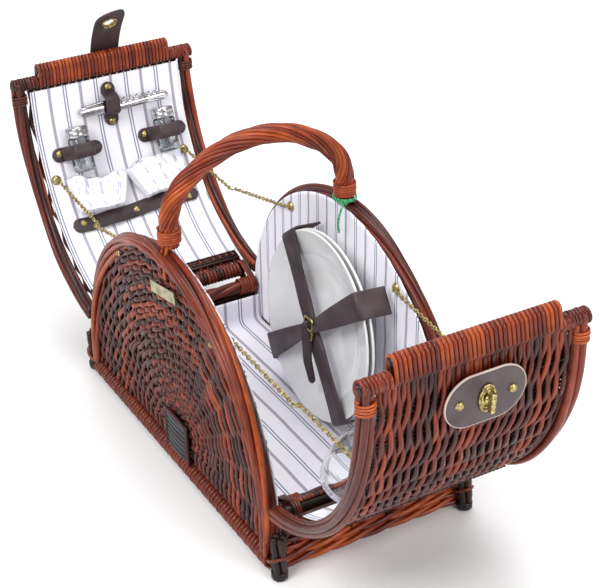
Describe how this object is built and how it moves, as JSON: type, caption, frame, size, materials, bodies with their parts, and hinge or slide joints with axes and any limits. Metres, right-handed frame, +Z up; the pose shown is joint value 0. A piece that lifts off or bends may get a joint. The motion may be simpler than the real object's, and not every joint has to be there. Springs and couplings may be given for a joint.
{
  "type": "wicker picnic basket",
  "caption": "Arched wicker picnic basket with two curved lids held open on chains, carrying handle, striped lining and strapped tableware.",
  "frame": {"origin": "on the ground under the middle of the basket, lids open", "axes": "+X from the corkscrew lid to the lock-plate lid, +Y from the plaque end to the plate end, +Z up"},
  "size_m": [0.7533, 0.2208, 0.3554],
  "materials": {
    "wicker_dark": "stained willow, satin",
    "wicker_bright": "stained willow, satin",
    "cane_black": "dyed cane, satin",
    "lining_cloth": "striped cotton",
    "napkin_cloth": "printed cotton",
    "leather": "smooth faux leather",
    "brass": "antique brass",
    "china": "glazed white",
    "glass": "clear",
    "steel": "polished",
    "twine": "twisted twine",
    "plaque": "matt"
  },
  "bodies": {
    "basket": {"back_panel": "wicker_dark", "back_panel_lining": "lining_cloth", "back_rim": "wicker_bright", "bottom_rails": "wicker_bright", "chain_rivets": "brass", "corner_posts": "wicker_dark", "fan_blocks": "cane_black", "floor_board": "wicker_dark", "floor_lining": "lining_cloth", "front_panel": "wicker_dark", "front_panel_lining": "lining_cloth", "front_plate": "china", "front_rim": "wicker_bright", "handle": "wicker_bright", "handle_bindings": "wicker_bright", "hinge_loops": "wicker_dark", "plaque": "plaque", "plate_strap_lower": "leather", "plate_strap_upper": "leather", "rear_plate": "china", "side_walls": "wicker_dark", "sills": "wicker_dark", "strap_buckle": "brass", "twine_end": "twine", "twine_tie": "twine"},
    "front_lid": {"front_lid_anchors": "brass", "front_lid_bindings": "wicker_bright", "front_lid_hinge_rod": "wicker_dark", "front_lid_lining": "lining_cloth", "front_lid_rails": "wicker_bright", "front_lid_raised_bar": "wicker_bright", "front_lid_weave": "wicker_dark", "goblet_left": "glass", "goblet_right": "glass", "goblet_straps": "leather", "lock_escutcheon": "brass", "lock_plate": "leather", "lock_studs": "brass"},
    "back_lid": {"back_lid_bindings": "wicker_bright", "back_lid_hinge_rod": "wicker_dark", "back_lid_lining": "lining_cloth", "back_lid_rails": "wicker_bright", "back_lid_raised_bar": "wicker_bright", "back_lid_studs": "brass", "back_lid_weave": "wicker_dark", "corkscrew_body": "steel", "corkscrew_strap": "leather", "corkscrew_worm": "steel", "napkin_strap": "leather", "napkins": "napkin_cloth", "shaker_caps": "steel", "shaker_glasses": "glass", "shaker_straps": "leather"},
    "turn_key": {"turn_key": "brass"},
    "closing_strap": {"closing_strap": "leather", "strap_eyelet": "brass"},
    "front_chains_panel_half": {"front_chains_panel_half": "brass"},
    "front_chains_lid_half": {"front_chains_lid_half": "brass"},
    "back_chains_panel_half": {"back_chains_panel_half": "brass"},
    "back_chains_lid_half": {"back_chains_lid_half": "brass"}
  },
  "joints": [
    {"name": "front_lid_hinge", "type": "hinge", "parent": "basket", "child": "front_lid", "pos_m": [0.209, 0, 0.071], "axis": [0, -1, 0], "range_deg": [0, 80]},
    {"name": "back_lid_hinge", "type": "hinge", "parent": "basket", "child": "back_lid", "pos_m": [-0.209, 0, 0.071], "axis": [0, 1, 0], "range_deg": [0, 83.5]},
    {"name": "front_chains_at_panel", "type": "hinge", "parent": "basket", "child": "front_chains_panel_half", "pos_m": [0.102, 0, 0.193], "axis": [0, 1, 0], "range_deg": [0, 43.43]},
    {"name": "front_chains_at_lid", "type": "hinge", "parent": "front_lid", "child": "front_chains_lid_half", "pos_m": [0.32868, 0, 0.17961], "axis": [0, -1, 0], "range_deg": [0, 41.76]},
    {"name": "back_chains_at_panel", "type": "hinge", "parent": "basket", "child": "back_chains_panel_half", "pos_m": [-0.102, 0, 0.193], "axis": [0, -1, 0], "range_deg": [0, 29.51]},
    {"name": "back_chains_at_lid", "type": "hinge", "parent": "back_lid", "child": "back_chains_lid_half", "pos_m": [-0.33509, 0, 0.1721], "axis": [0, 1, 0], "range_deg": [0, 39.26]},
    {"name": "turn_key_turn", "type": "hinge", "parent": "front_lid", "child": "turn_key", "pos_m": [0.35953, 0.006, 0.24656], "axis": [0.9962, 0, -0.0876], "range_deg": [0, 90]},
    {"name": "closing_strap_bend", "type": "hinge", "parent": "back_lid", "child": "closing_strap", "pos_m": [-0.37533, 0.006, 0.29175], "axis": [0, -1, 0], "range_deg": [0, 36.05]}
  ],
  "couplings": [
    {"joint": "front_chains_at_panel", "follows": "front_lid_hinge", "ratio": 0.5423},
    {"joint": "front_chains_at_lid", "follows": "front_lid_hinge", "ratio": 0.52134},
    {"joint": "back_chains_at_panel", "follows": "back_lid_hinge", "ratio": 0.3528},
    {"joint": "back_chains_at_lid", "follows": "back_lid_hinge", "ratio": 0.46954},
    {"joint": "closing_strap_bend", "follows": "front_lid_hinge", "ratio": 0.45}
  ]
}
